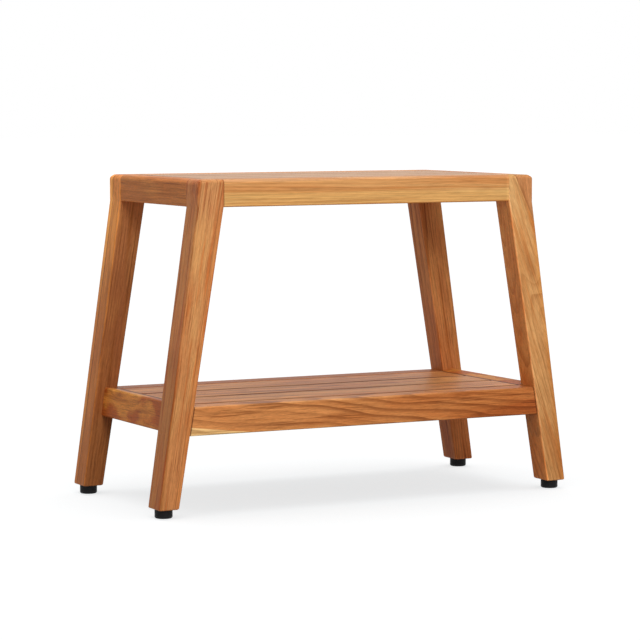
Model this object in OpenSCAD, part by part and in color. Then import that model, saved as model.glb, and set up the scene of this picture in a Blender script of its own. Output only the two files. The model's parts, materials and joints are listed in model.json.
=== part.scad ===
// Shower bench in teak: a slatted seat on four kneed, splayed legs, with a slatted
// shelf low down between them and a screw-in levelling foot under each leg.
// Origin at the bottom centre of the bench. X runs along the seat, -Y is the front.
// Every corner of the bench is drawn once, at the front right (+X, -Y), and mirrored.

/* [Bench] */
// Height of the seat above the floor
seat_h = 457; // [440:1:480]
// Length of the seat over the leg heads
seat_l = 529; // [480:1:620]
// Depth of the bench over the legs, front to back
bench_d = 298.5; // [280:0.5:340]
// Gap between two slats, and between a slat and a long rail
slat_gap = 4; // [2:0.5:5]
// Gap between a slat and the leg heads beside it
slat_leg_gap = 1.75; // [1:0.25:3]
// Thickness of a slat
slat_t = 14; // [12:0.5:16]
// Play between a slat's end and the end rail
slat_end_gap = 0.5; // [0.3:0.1:1.5]

/* [Legs] */
// Width of a leg's head along the seat
head_w = 39; // [36:0.5:44]
// Depth of a leg, front to back
leg_d = 38; // [33:0.5:42]
// Outward lean of a leg's outer face below the knee, in degrees
lean_out = 8.24; // [6:0.1:9]
// Outward lean of a leg's inner face below the knee, in degrees
lean_in = 9.5; // [9:0.1:10]
// Rounding of a leg's long arrises
leg_arris_r = 2; // [1.5:0.5:4]
// How much sharper a head's outer front arris is than the shank's
head_arris_less = 0.5; // [0.3:0.1:1]
// Rounding of a head's arrises where rails meet it
head_ease_r = 1; // [0.5:0.5:1.5]
// Chamfer round the sawn foot of a leg
leg_end_chamfer = 1.5; // [0.5:0.5:2]
// Width of the wedge glued to the outer corner of the front right leg's head
wedge_w = 29.5; // [24:0.5:33]
// Angle between the wedge's glue line and the vertical
wedge_angle = 25.7; // [22:0.1:30]

/* [Rails] */
// Height of the seat's rails
seat_rail_h = 37.5; // [35:0.5:45]
// Height of the shelf's long rails
shelf_rail_h = 39.5; // [35:0.5:45]
// Thickness of the end rails of seat and shelf
end_rail_t = 24; // [22:0.5:28]
// Height of the shelf's end rails
shelf_end_h = 41; // [38:0.5:45]
// How far the seat's rails lie behind the faces of the leg heads
seat_reveal = 0.6; // [0.3:0.1:1.5]
// How far the shelf's long rails lie behind the faces of the legs
shelf_reveal = 2; // [1:0.5:3]
// How far a shelf end rail's outer face lies inside the legs' outer faces
shelf_end_inset = 13; // [11:0.5:14]
// Height of the shelf's top above the floor
shelf_z = 150.4; // [130:0.5:200]
// Rounding of the seat's top edge
seat_edge_r = 5.5; // [4:0.5:10]
// Rounding of a shelf end rail's top outer arris
shelf_end_edge_r = 3; // [1:0.5:4]
// Rounding of the other long arrises of rails and slats
arris_r = 2; // [1:0.5:3]
// Easing of an arris that lies against another piece
ease_r = 0.5; // [0.2:0.1:1]

/* [Cleats and battens] */
// Side of the square cleats that carry the slat ends
cleat_w = 18; // [16:0.5:20]
// Width of the batten under the middle of the slats
batten_w = 40; // [30:1:50]
// Thickness of the batten
batten_t = 16; // [14:0.5:18]
// How deep a batten's end is housed in the long rail
housing_d = 8; // [5:0.5:12]

/* [Joints and fastenings] */
// Depth of the end rails' stub tenons
tenon_d = 12; // [10:0.5:14]
// Thickness of the stub tenons
tenon_t = 10; // [8:0.5:12]
// Height of the stub tenons
tenon_h = 22; // [18:0.5:26]
// How far a shelf tenon lies outside the middle of its rail
tenon_shift = 4; // [3:0.5:5]
// Diameter of the dowels in the long rails' ends
dowel_dia = 8; // [6:0.5:8]
// Length of a dowel that lies in the leg, and in the rail
dowel_half = 18; // [14:0.5:18]
// Height between the two dowels of a joint
dowel_pitch = 17; // [15:0.5:20]
// Wood left between a leg's mortise and its dowel holes
dowel_wall = 2.5; // [1.5:0.5:4]
// Diameter of the wood screws
screw_dia = 4; // [3.5:0.1:4.5]
// Length of the wood screws
screw_l = 25; // [22:0.5:26]
// Diameter of a screw's countersunk head
screw_head_dia = 8; // [7:0.1:8.5]
// Glue line all round a tenon, dowel, insert, housing or screw
fit_gap = 0.1; // [0.05:0.01:0.2]
// How much deeper a blind hole is than the dowel or screw in it
hole_spare = 1; // [0.5:0.5:1.5]

/* [Feet] */
// Diameter of a foot
foot_dia = 24.5; // [20:0.5:26]
// Height of a foot
foot_h = 12; // [10:0.1:16]
// Rounding of a foot's bottom edge
foot_edge_r = 2.5; // [1:0.5:4]
// Gap between a screwed-in foot and the end of its leg
foot_gap = 0.3; // [0.2:0.1:1]
// Diameter of a foot's stud
stud_dia = 8; // [6:0.5:8]
// Height of the stud above the foot
stud_l = 22; // [20:0.5:26]
// Diameter of the flange that the foot is moulded round
flange_dia = 15; // [12:0.5:17]
// Thickness of that flange
flange_t = 2.5; // [2:0.5:3]
// Outer diameter of the threaded insert in a leg
insert_dia = 12; // [10:0.5:13]
// Length of the insert
insert_l = 18; // [14:0.5:20]
// Running clearance all round a stud
stud_play = 0.08; // [0.05:0.01:0.1]
// Clearance all round the stud in the leg's hole above the insert
stud_hole_gap = 0.5; // [0.3:0.1:1]
// How much higher that hole is than the stud
stud_hole_spare = 8; // [2:1:12]

/* [Hidden] */
$fn = 64;

// Legs: half sizes, the knee under the seat rails, and the sawn end above the foot
half_l = seat_l / 2;
half_d = bench_d / 2;
knee_z = seat_h - seat_rail_h;
leg_end_z = foot_h + foot_gap;
head_in_x = half_l - head_w;
inner_y = half_d - leg_d;

// Slats: front, middle and rear, numbered -1, 0 and 1. The long rails' inner faces are
// a slat gap from them
slat_n = 3;
slat_side_y = inner_y - slat_leg_gap;
slat_w = (2 * slat_side_y - (slat_n - 1) * slat_gap) / slat_n;
slat_pitch = slat_w + slat_gap;
rail_in_y = slat_side_y + slat_gap;

// Where a leg's outer and inner faces are at height z, below the knee
function outer_x(z) = half_l + (knee_z - z) * tan(lean_out);
function inner_x(z) = head_in_x + (knee_z - z) * tan(lean_in);

// Seat: the end rail's inner face, the slats between the end rails
seat_end_x = half_l - seat_reveal;
seat_end_in_x = seat_end_x - end_rail_t;
seat_rail_t = half_d - seat_reveal - rail_in_y;
seat_slat_bottom = seat_h - slat_t;

// Shelf: the end rails lean with the legs, and their inner top corner meets the slats
shelf_rail_t = half_d - shelf_reveal - rail_in_y;
shelf_rail_bottom = shelf_z - shelf_rail_h;
shelf_slat_bottom = shelf_z - slat_t;
function shelf_in_x(z) = outer_x(z) - shelf_end_inset - end_rail_t / cos(lean_out);

// Joints: dowels outside the mortises, screws under the slats' middles, and between
// them the screws that hold the cleats
dowel_y = inner_y + tenon_d + dowel_wall + dowel_dia / 2;
seat_joint_z = knee_z + (seat_rail_h - seat_edge_r / 2) / 2;
shelf_joint_z = shelf_rail_bottom + shelf_rail_h / 2;
screw_head_h = (screw_head_dia - screw_dia) / 2;
cleat_l = 2 * (inner_y - slat_gap);
cleat_screw_y = slat_pitch / 2;
seat_cleat_x = seat_end_in_x - cleat_w / 2;
shelf_cleat_x = shelf_in_x(shelf_z) - cleat_w / 2;

// Feet: each stands under the middle of its leg's sawn end
foot_x = (outer_x(leg_end_z) + inner_x(leg_end_z)) / 2;
foot_y = half_d - leg_d / 2;
flange_z = 3;
stud_top = foot_h + stud_l;
far = 2 * seat_l;

// ---------- shapes that repeat ----------

// Draws its children at one corner of the bench
module corner(left = false, rear = false) {
    if (left && rear) mirror([1, 0, 0]) mirror([0, 1, 0]) children();
    else if (left) mirror([1, 0, 0]) children();
    else if (rear) mirror([0, 1, 0]) children();
    else children();
}

// Draws its children at all four corners
module corners() {
    for (left = [false, true], rear = [false, true]) corner(left, rear) children();
}

// What a rounding takes off a square corner at the origin, material at +X +Y
module corner_waste(r) {
    difference() {
        translate([-1, -1]) square(r + 1);
        translate([r, r]) circle(r = r);
    }
}

// Rectangle with its four corners rounded, the radii anticlockwise from the origin
module eased_rect(w, h, r) {
    difference() {
        square([w, h]);
        corner_waste(r[0]);
        translate([w, 0]) mirror([1, 0]) corner_waste(r[1]);
        translate([w, h]) mirror([1, 0]) mirror([0, 1]) corner_waste(r[2]);
        translate([0, h]) mirror([0, 1]) corner_waste(r[3]);
    }
}

// Bar along X, centred on X, whose section has its first corner at [y, z]
module bar_x(l, y, z, w, h, r) {
    translate([-l / 2, y, z]) rotate([90, 0, 90]) linear_extrude(l) eased_rect(w, h, r);
}

// Bar along Y, centred on Y, whose section has its first corner at [x, z]
module bar_y(l, x, z, w, h, r) {
    translate([x, l / 2, z]) rotate([90, 0, 0]) linear_extrude(l) eased_rect(w, h, r);
}

// Half space above a plane through [x, z], level along Y, that falls by an angle
// towards +X
module above(x, z, angle) {
    translate([x, 0, z]) rotate([0, angle, 0]) translate([-far, -far, 0]) cube(2 * far);
}

// Countersunk cross-head wood screw, head down at the origin, pointing up
module screw() {
    recess = screw_head_dia / 2;
    slot = screw_head_dia / 8;
    difference() {
        rotate_extrude() polygon([
            [0, 0], [screw_head_dia / 2, 0], [screw_dia / 2, screw_head_h],
            [screw_dia / 2, screw_l - screw_dia], [0, screw_l]
        ]);
        for (turn = [0, 90]) rotate(turn)
            translate([-recess / 2, -slot / 2, -1]) cube([recess, slot, 1 + screw_head_h]);
    }
}

// The countersunk hole that a screw sits in
module screw_hole() {
    head_r = screw_head_dia / 2 + fit_gap;
    shank_r = screw_dia / 2 + fit_gap;
    top = screw_l + hole_spare;
    rotate_extrude() polygon([
        [0, -1], [head_r, -1], [head_r, 0], [shank_r, screw_head_h], [shank_r, top], [0, top]
    ]);
}

// ---------- joints ----------

// Dowel half in the front rail and half in the right leg, which meet at x, or its hole
module dowel(x, z, hole = false) {
    half = dowel_half + (hole ? hole_spare : 0);
    translate([x - half, -dowel_y, z]) rotate([0, 90, 0])
        cylinder(r = dowel_dia / 2 + (hole ? fit_gap : 0), h = 2 * half);
}

// The two dowels of a seat rail's end
module seat_joint_dowels(hole = false) {
    for (side = [-1, 1]) dowel(head_in_x, seat_joint_z + side * dowel_pitch / 2, hole);
}

// The two dowels of a shelf rail's end, where the leg leans away from the rail
module shelf_joint_dowels(hole = false) {
    for (side = [-1, 1])
        let (z = shelf_joint_z + side * dowel_pitch / 2) dowel(inner_x(z), z, hole);
}

// Stub tenon on the front end of a right end rail, or its mortise, a glue line bigger
module tenon(x, z, hole = false) {
    gap = hole ? fit_gap : 0;
    translate([x - tenon_t / 2 - gap, -inner_y - tenon_d - gap, z - tenon_h / 2 - gap])
        cube([tenon_t + 2 * gap, tenon_d + 2 * gap, tenon_h + 2 * gap]);
}

module seat_tenon(hole = false) {
    tenon(seat_end_x - end_rail_t / 2, knee_z + seat_rail_h / 2, hole);
}

// Places its children in the right shelf end rail's leaning frame: the origin is at
// the inner top corner, X runs outward and Z up along the lean
module on_shelf_end() {
    translate([shelf_in_x(shelf_z), 0, shelf_z]) rotate([0, -lean_out, 0]) children();
}

module shelf_tenon(hole = false) {
    on_shelf_end() tenon(end_rail_t / 2 + tenon_shift, -shelf_end_h / 2, hole);
}

// End of a batten that lies in the front rail, under slats with their bottom at z, or
// its housing, a glue line bigger
module batten_end(z, hole = false) {
    gap = hole ? fit_gap : 0;
    translate([-batten_w / 2 - gap, -rail_in_y - housing_d - gap, z - batten_t - gap])
        cube([batten_w + 2 * gap, housing_d + 2 * gap, batten_t + 2 * gap]);
}

// Screws up through the cleats and the batten into the three slats, or their holes
module slat_screws(cleat_x, slat_bottom, hole = false) {
    for (i = [-1:1], x = [-cleat_x, 0, cleat_x])
        translate([x, i * slat_pitch, slat_bottom - (x == 0 ? batten_t : cleat_w)])
            if (hole) screw_hole(); else screw();
}

// Screws out through the right cleat into its end rail, or their holes
module cleat_screws(x, z, hole = false) {
    for (y = [-cleat_screw_y, cleat_screw_y])
        translate([x, y, z]) rotate([0, 90, 0])
            if (hole) screw_hole(); else screw();
}

module seat_slat_screw_set(hole = false) {
    slat_screws(seat_cleat_x, seat_slat_bottom, hole);
}

module shelf_slat_screw_set(hole = false) {
    slat_screws(shelf_cleat_x, shelf_slat_bottom, hole);
}

module seat_cleat_screw_set(hole = false) {
    cleat_screws(seat_cleat_x - cleat_w / 2, seat_slat_bottom - cleat_w / 2, hole);
}

module shelf_cleat_screw_set(hole = false) {
    cleat_screws(shelf_cleat_x - cleat_w / 2, shelf_slat_bottom - cleat_w / 2, hole);
}

// ---------- legs ----------

// What the rounding takes off one long arris of the leg, at [x, y] by the knee: below
// the knee it leans, above it the head's arris is upright and has its own radius, and
// the two meet on the plane that halves the knee's angle
module leg_arris(x, y, lean, head_r) {
    flip_x = x == half_l ? 1 : 0;
    flip_y = y == -half_d ? 0 : 1;
    difference() {
        translate([x, y, knee_z]) rotate([0, -lean, 0]) translate([0, 0, -far])
            linear_extrude(far + leg_arris_r) mirror([flip_x, 0]) mirror([0, flip_y])
                corner_waste(leg_arris_r);
        above(x, knee_z, -lean / 2);
    }
    intersection() {
        translate([x, y, knee_z - head_r]) linear_extrude(far)
            mirror([flip_x, 0]) mirror([0, flip_y]) corner_waste(head_r);
        above(x, knee_z, -lean / 2);
    }
}

// Side view of a leg: an upright head as high as the seat rails, then a tapered,
// leaning shank down to the level sawn end
module leg_profile() {
    polygon([
        [head_in_x, seat_h], [half_l, seat_h], [half_l, knee_z],
        [outer_x(leg_end_z), leg_end_z], [inner_x(leg_end_z), leg_end_z],
        [head_in_x, knee_z]
    ]);
}

// Front right leg with its joints, before the wedge is taken off
module leg() {
    difference() {
        translate([0, -inner_y, 0]) rotate([90, 0, 0]) linear_extrude(leg_d) leg_profile();
        leg_arris(half_l, -half_d, lean_out, leg_arris_r - head_arris_less);
        leg_arris(half_l, -inner_y, lean_out, head_ease_r);
        leg_arris(head_in_x, -half_d, lean_in, head_ease_r);
        leg_arris(head_in_x, -inner_y, lean_in, head_ease_r);
        // the seat's rounded top edge runs over the head
        translate([head_in_x - 1, -half_d, seat_h]) rotate([90, 0, 90])
            linear_extrude(head_w + 2) mirror([0, 1]) corner_waste(seat_edge_r);
        translate([half_l, -inner_y + 1, seat_h]) rotate([90, 0, 0])
            linear_extrude(leg_d + 2) mirror([1, 0]) mirror([0, 1])
                corner_waste(seat_edge_r);
        leg_end_chamfers();
        seat_joint_dowels(true);
        shelf_joint_dowels(true);
        seat_tenon(true);
        shelf_tenon(true);
        // the insert's seat and the stud's hole above it
        translate([foot_x, -foot_y, leg_end_z - 1])
            cylinder(r = insert_dia / 2 + fit_gap, h = insert_l + 1);
        translate([foot_x, -foot_y, leg_end_z])
            cylinder(r = stud_dia / 2 + stud_hole_gap, h = stud_l + stud_hole_spare);
    }
}

// Chamfers round the leg's sawn end
module leg_end_chamfers() {
    side = leg_end_chamfer * sqrt(2);
    for (x = [inner_x(leg_end_z), outer_x(leg_end_z)])
        translate([x, -foot_y, leg_end_z]) rotate([0, 45, 0])
            cube([side, leg_d + 2, side], center = true);
    for (y = [-half_d, -inner_y])
        translate([foot_x, y, leg_end_z]) rotate([45, 0, 0])
            cube([head_w, side, side], center = true);
}

// Space outside the wedge's glue line on the front right leg's head
module wedge_space() {
    above(half_l - wedge_w, seat_h, 90 - wedge_angle);
}

module leg_front_right() color("#c89458") difference() {
    leg();
    wedge_space();
}
module head_wedge_front_right() color("#b87848") intersection() {
    leg();
    wedge_space();
}
module leg_front_left() color("#b87a48") corner(left = true) leg();
module leg_rear_right() color("#7a4a2c") corner(rear = true) leg();
module leg_rear_left() color("#8c5a34") corner(left = true, rear = true) leg();

// ---------- seat ----------

// Front rail between the leg heads, its top outer edge rounded like the heads'
module seat_rail() {
    difference() {
        bar_x(2 * head_in_x, -half_d + seat_reveal, knee_z, seat_rail_t, seat_rail_h,
              [arris_r, arris_r, arris_r, seat_edge_r]);
        for (left = [false, true]) corner(left) seat_joint_dowels(true);
        batten_end(seat_slat_bottom, true);
    }
}

// Right end rail, tenoned into the leg heads
module seat_end_rail() {
    difference() {
        union() {
            bar_y(2 * inner_y, seat_end_in_x, knee_z, end_rail_t, seat_rail_h,
                  [arris_r, arris_r, seat_edge_r, arris_r]);
            for (rear = [false, true]) corner(rear = rear) seat_tenon();
        }
        seat_cleat_screw_set(true);
    }
}

// Slat between the end rails
module seat_slat(i) {
    difference() {
        bar_x(2 * (seat_end_in_x - slat_end_gap), i * slat_pitch - slat_w / 2, seat_slat_bottom,
              slat_w, slat_t, [arris_r, arris_r, arris_r, arris_r]);
        seat_slat_screw_set(true);
    }
}

// Right cleat, glued and screwed to the end rail under the slat ends
module seat_cleat() {
    difference() {
        bar_y(cleat_l, seat_end_in_x - cleat_w, seat_slat_bottom - cleat_w,
              cleat_w, cleat_w, [arris_r, ease_r, ease_r, ease_r]);
        seat_slat_screw_set(true);
        seat_cleat_screw_set(true);
    }
}

// Batten across the middle, housed in the long rails
module batten(z) {
    bar_y(2 * rail_in_y, -batten_w / 2, z - batten_t, batten_w, batten_t,
          [arris_r, arris_r, ease_r, ease_r]);
    for (rear = [false, true]) corner(rear = rear) batten_end(z);
}

module seat_rail_front() color("#cf9a5a") seat_rail();
module seat_rail_rear() color("#a8703f") corner(rear = true) seat_rail();
module seat_end_rail_right() color("#a06a3c") seat_end_rail();
module seat_end_rail_left() color("#9b6038") corner(left = true) seat_end_rail();
module seat_slat_front() color("#c8957a") seat_slat(-1);
module seat_slat_middle() color("#c08a68") seat_slat(0);
module seat_slat_rear() color("#c8957a") seat_slat(1);
module seat_cleat_right() color("#9c6a44") seat_cleat();
module seat_cleat_left() color("#9c6a44") corner(left = true) seat_cleat();
module seat_batten() color("#946040") difference() {
    batten(seat_slat_bottom);
    seat_slat_screw_set(true);
}

// ---------- shelf ----------

// Front rail between the legs, its ends cut to the lean of their inner faces
module shelf_rail() {
    difference() {
        intersection() {
            bar_x(2 * outer_x(0), -half_d + shelf_reveal, shelf_rail_bottom, shelf_rail_t,
                  shelf_rail_h, [arris_r, arris_r, arris_r, arris_r]);
            translate([0, far / 2, 0]) rotate([90, 0, 0]) linear_extrude(far) polygon([
                [-inner_x(0), 0], [inner_x(0), 0],
                [head_in_x, knee_z], [-head_in_x, knee_z]
            ]);
        }
        for (left = [false, true]) corner(left) shelf_joint_dowels(true);
        batten_end(shelf_slat_bottom, true);
    }
}

// Right end rail, leaning with the legs and tenoned into them
module shelf_end_rail() {
    difference() {
        union() {
            on_shelf_end() bar_y(2 * inner_y, 0, -shelf_end_h, end_rail_t, shelf_end_h,
                                 [arris_r, arris_r, shelf_end_edge_r, ease_r]);
            for (rear = [false, true]) corner(rear = rear) shelf_tenon();
        }
        shelf_cleat_screw_set(true);
    }
}

// Space between the leaning inner faces of the shelf's end rails, less a gap at each
module between_shelf_ends(gap) {
    translate([0, far / 2, 0]) rotate([90, 0, 0]) linear_extrude(far) polygon([
        [-shelf_in_x(0) + gap, 0], [shelf_in_x(0) - gap, 0],
        [shelf_in_x(seat_h) - gap, seat_h], [-shelf_in_x(seat_h) + gap, seat_h]
    ]);
}

// Slat between the end rails, its ends cut to their lean
module shelf_slat(i) {
    difference() {
        intersection() {
            bar_x(2 * outer_x(0), i * slat_pitch - slat_w / 2, shelf_slat_bottom,
                  slat_w, slat_t, [arris_r, arris_r, arris_r, arris_r]);
            between_shelf_ends(slat_end_gap);
        }
        shelf_slat_screw_set(true);
    }
}

// Right cleat, its outer face planed to the end rail's lean
module shelf_cleat() {
    difference() {
        intersection() {
            bar_y(cleat_l, shelf_in_x(shelf_z) - cleat_w, shelf_slat_bottom - cleat_w,
                  2 * cleat_w, cleat_w, [arris_r, ease_r, ease_r, ease_r]);
            between_shelf_ends(0);
        }
        shelf_slat_screw_set(true);
        shelf_cleat_screw_set(true);
    }
}

module shelf_rail_front() color("#b86c38") shelf_rail();
module shelf_rail_rear() color("#a86a40") corner(rear = true) shelf_rail();
module shelf_end_rail_right() color("#a0683c") shelf_end_rail();
module shelf_end_rail_left() color("#a0683c") corner(left = true) shelf_end_rail();
module shelf_slat_front() color("#c8957a") shelf_slat(-1);
module shelf_slat_middle() color("#b88568") shelf_slat(0);
module shelf_slat_rear() color("#c8957a") shelf_slat(1);
module shelf_cleat_right() color("#9c6a44") shelf_cleat();
module shelf_cleat_left() color("#9c6a44") corner(left = true) shelf_cleat();
module shelf_batten() color("#946040") difference() {
    batten(shelf_slat_bottom);
    shelf_slat_screw_set(true);
}

// ---------- fastenings ----------

module seat_rail_dowels() color("#d8b482") corners() seat_joint_dowels();
module shelf_rail_dowels() color("#d8b482") corners() shelf_joint_dowels();
module seat_slat_screws() color("#c0c4c8") seat_slat_screw_set();
module shelf_slat_screws() color("#c0c4c8") shelf_slat_screw_set();
module seat_cleat_screws() color("#c0c4c8") {
    seat_cleat_screw_set();
    corner(left = true) seat_cleat_screw_set();
}
module shelf_cleat_screws() color("#c0c4c8") {
    shelf_cleat_screw_set();
    corner(left = true) shelf_cleat_screw_set();
}

// ---------- feet ----------

// Threaded insert, glued into the sawn end of a leg
module insert() {
    translate([foot_x, -foot_y, leg_end_z]) difference() {
        cylinder(d = insert_dia, h = insert_l);
        translate([0, 0, -1]) cylinder(d = stud_dia + 2 * stud_play, h = insert_l + 2);
    }
}

// Stud with the flange that the foot is moulded round
module stud() {
    end_chamfer = 0.8;
    translate([foot_x, -foot_y, 0]) rotate_extrude() polygon([
        [0, flange_z], [flange_dia / 2, flange_z], [flange_dia / 2, flange_z + flange_t],
        [stud_dia / 2, flange_z + flange_t], [stud_dia / 2, stud_top - end_chamfer],
        [stud_dia / 2 - end_chamfer, stud_top], [0, stud_top]
    ]);
}

// Rubber foot: a low cylinder with a rounded tread edge, closed round the flange
module foot() {
    top_ease = 0.8;
    translate([foot_x, -foot_y, 0]) difference() {
        rotate_extrude() difference() {
            square([foot_dia / 2, foot_h]);
            translate([foot_dia / 2, 0]) mirror([1, 0]) corner_waste(foot_edge_r);
            translate([foot_dia / 2, foot_h]) mirror([1, 0]) mirror([0, 1])
                corner_waste(top_ease);
        }
        translate([0, 0, flange_z - stud_play])
            cylinder(d = flange_dia + 2 * stud_play, h = flange_t + 2 * stud_play);
        translate([0, 0, flange_z]) cylinder(d = stud_dia + 2 * stud_play, h = foot_h);
    }
}

module insert_front_right() color("#b8924a") insert();
module insert_front_left() color("#b8924a") corner(left = true) insert();
module insert_rear_right() color("#b8924a") corner(rear = true) insert();
module insert_rear_left() color("#b8924a") corner(left = true, rear = true) insert();
module stud_front_right() color("#b0b4b8") stud();
module stud_front_left() color("#b0b4b8") corner(left = true) stud();
module stud_rear_right() color("#b0b4b8") corner(rear = true) stud();
module stud_rear_left() color("#b0b4b8") corner(left = true, rear = true) stud();
module foot_front_right() color("#1c1c1e") foot();
module foot_front_left() color("#1c1c1e") corner(left = true) foot();
module foot_rear_right() color("#1c1c1e") corner(rear = true) foot();
module foot_rear_left() color("#1c1c1e") corner(left = true, rear = true) foot();

leg_front_right();
leg_front_left();
leg_rear_right();
leg_rear_left();
head_wedge_front_right();
seat_rail_front();
seat_rail_rear();
seat_end_rail_right();
seat_end_rail_left();
seat_slat_front();
seat_slat_middle();
seat_slat_rear();
seat_cleat_right();
seat_cleat_left();
seat_batten();
shelf_rail_front();
shelf_rail_rear();
shelf_end_rail_right();
shelf_end_rail_left();
shelf_slat_front();
shelf_slat_middle();
shelf_slat_rear();
shelf_cleat_right();
shelf_cleat_left();
shelf_batten();
seat_rail_dowels();
shelf_rail_dowels();
seat_slat_screws();
shelf_slat_screws();
seat_cleat_screws();
shelf_cleat_screws();
insert_front_right();
insert_front_left();
insert_rear_right();
insert_rear_left();
stud_front_right();
stud_front_left();
stud_rear_right();
stud_rear_left();
foot_front_right();
foot_front_left();
foot_rear_right();
foot_rear_left();
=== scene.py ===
import json
import math

import bmesh
import bpy
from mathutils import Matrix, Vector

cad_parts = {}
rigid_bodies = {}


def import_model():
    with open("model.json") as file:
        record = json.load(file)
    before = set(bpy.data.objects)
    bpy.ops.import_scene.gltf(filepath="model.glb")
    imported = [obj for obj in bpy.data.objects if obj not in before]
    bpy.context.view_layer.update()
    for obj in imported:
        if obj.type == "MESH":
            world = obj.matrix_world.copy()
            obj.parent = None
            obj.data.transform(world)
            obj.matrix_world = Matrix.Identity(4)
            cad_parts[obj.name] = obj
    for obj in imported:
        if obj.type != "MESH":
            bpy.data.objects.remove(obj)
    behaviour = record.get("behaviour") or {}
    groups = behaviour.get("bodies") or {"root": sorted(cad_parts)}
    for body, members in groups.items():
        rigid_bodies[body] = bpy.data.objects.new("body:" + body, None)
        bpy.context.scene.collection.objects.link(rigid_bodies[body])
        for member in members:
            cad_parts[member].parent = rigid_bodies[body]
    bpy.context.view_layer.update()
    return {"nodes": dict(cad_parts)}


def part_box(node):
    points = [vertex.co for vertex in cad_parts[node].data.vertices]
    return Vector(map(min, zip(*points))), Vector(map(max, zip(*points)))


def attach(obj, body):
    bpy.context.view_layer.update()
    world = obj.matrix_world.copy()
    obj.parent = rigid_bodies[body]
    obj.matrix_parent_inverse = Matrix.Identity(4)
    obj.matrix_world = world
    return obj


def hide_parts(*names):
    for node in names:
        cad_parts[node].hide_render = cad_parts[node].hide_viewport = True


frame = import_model()


# ---------- Legs ----------
# Four kneed legs of solid teak about 38 mm square, sawn out with the grain down the shank
# and oiled; the two on the left are glued up from two boards. They are copies of the CAD's,
# sanded rounder at the seat's end and at their lower ends.

def linear(code):
    """Linear colour of a hex code such as c88850."""
    parts = [int(code[i:i + 2], 16) / 255 for i in (0, 2, 4)]
    return [*(p / 12.92 if p < 0.04045 else ((p + 0.055) / 1.055) ** 2.4 for p in parts), 1]


def start_group(name, inputs, outputs, kind="ShaderNodeTree"):
    """A node group with named sockets, and its input and output sockets to link."""
    tree = bpy.data.node_groups.new(name, kind)
    for label, holds, value in inputs:
        socket = tree.interface.new_socket(label, in_out="INPUT", socket_type="NodeSocket" + holds)
        if value is not None:
            socket.default_value = value
    for label, holds in outputs:
        tree.interface.new_socket(label, in_out="OUTPUT", socket_type="NodeSocket" + holds)
    given = tree.nodes.new("NodeGroupInput").outputs
    made = tree.nodes.new("NodeGroupOutput").inputs
    return tree, given, made


def feed(socket, value):
    """Links an output to a socket, or sets the socket to a plain value."""
    if isinstance(value, bpy.types.NodeSocket):
        socket.id_data.links.new(value, socket)
    else:
        socket.default_value = value


def tree_of(*values):
    """The tree that holds the sockets among some values."""
    return next(v.id_data for v in values if isinstance(v, bpy.types.NodeSocket))


def calc(operation, *values):
    node = tree_of(*values).nodes.new("ShaderNodeMath")
    node.operation = operation
    for socket, value in zip(node.inputs, values):
        feed(socket, value)
    return node.outputs[0]


def vector_calc(operation, *values):
    node = tree_of(*values).nodes.new("ShaderNodeVectorMath")
    node.operation = operation
    for socket, value in zip(node.inputs, values):
        feed(socket, value)
    return node.outputs["Value" if operation in ("DOT_PRODUCT", "LENGTH") else "Vector"]


def fill(node, **values):
    """Feeds a node's inputs; a value's name has _ for each space of the socket's."""
    for label, value in values.items():
        feed(node.inputs[label.replace("_", " ")], value)
    return node


def add_node(kind, **values):
    """A new node in the tree that its values come from."""
    return fill(tree_of(*values.values()).nodes.new(kind), **values)


def combined(x=0.0, y=0.0, z=0.0):
    return add_node("ShaderNodeCombineXYZ", X=x, Y=y, Z=z).outputs[0]


def scaled(vector, amount):
    node = tree_of(vector, amount).nodes.new("ShaderNodeVectorMath")
    node.operation = "SCALE"
    feed(node.inputs[0], vector)
    feed(node.inputs["Scale"], amount)
    return node.outputs["Vector"]


def ramp(value, start, end):
    """0 before start, 1 past end, and smooth between; it falls where end is the lower one."""
    node = add_node("ShaderNodeMapRange", Value=value, From_Min=start, From_Max=end)
    node.interpolation_type = "SMOOTHSTEP"
    return node.outputs[0]


# Where the sockets of a Mix node for colours are.
MIX_SHARE, MIX_UNDER, MIX_OVER, MIX_RESULT = 0, 6, 7, 2


def blend(share, under, over, kind="MIX"):
    node = tree_of(share, under, over).nodes.new("ShaderNodeMix")
    node.data_type = "RGBA"
    node.blend_type = kind
    feed(node.inputs[MIX_SHARE], share)
    feed(node.inputs[MIX_UNDER], under)
    feed(node.inputs[MIX_OVER], over)
    return node.outputs[MIX_RESULT]


def tinted(share, color, tint):
    """The colour, multiplied by a tint where share is 1."""
    return blend(share, color, blend(1.0, color, (*tint, 1), "MULTIPLY"))


def noise(where, cells, detail=2.0, roughness=0.5, output=0):
    """Noise with so many cells in a metre along each axis."""
    return add_node("ShaderNodeTexNoise", Vector=vector_calc("MULTIPLY", where, cells), Scale=1.0,
                    Detail=detail, Roughness=roughness).outputs[output]


# Cells of each feature of teak in a metre, twice across the grain and once along it.
BEND_CELLS, BLOTCH_CELLS, STREAK_CELLS = (20, 20, 4.5), (34, 34, 8), (130, 130, 6)
LINE_CELLS, FIBRE_CELLS, FLECK_CELLS = (430, 430, 10), (640, 640, 24), (950, 950, 120)
PORE_CELLS = (2600, 2600, 130)
BEND_REACH = 0.007
SEED_STEP = (1.37, 2.11, 0.73)
LATE_START, LATE_END, LATE_LEAST = 0.3, 0.92, 0.15
KNOT_SQUEEZE, KNOT_EDGE, KNOT_DARK = 0.3, 3.0, 0.55
FIBRE_LIGHT, FLECK_LIGHT, PORE_DARK, LEAST_LIGHT = 0.95, 0.72, 0.22, 0.22
ROUGH_LEAST, ROUGH_SPREAD, PORE_DEPTH = 0.36, 0.2, 1.2


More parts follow.
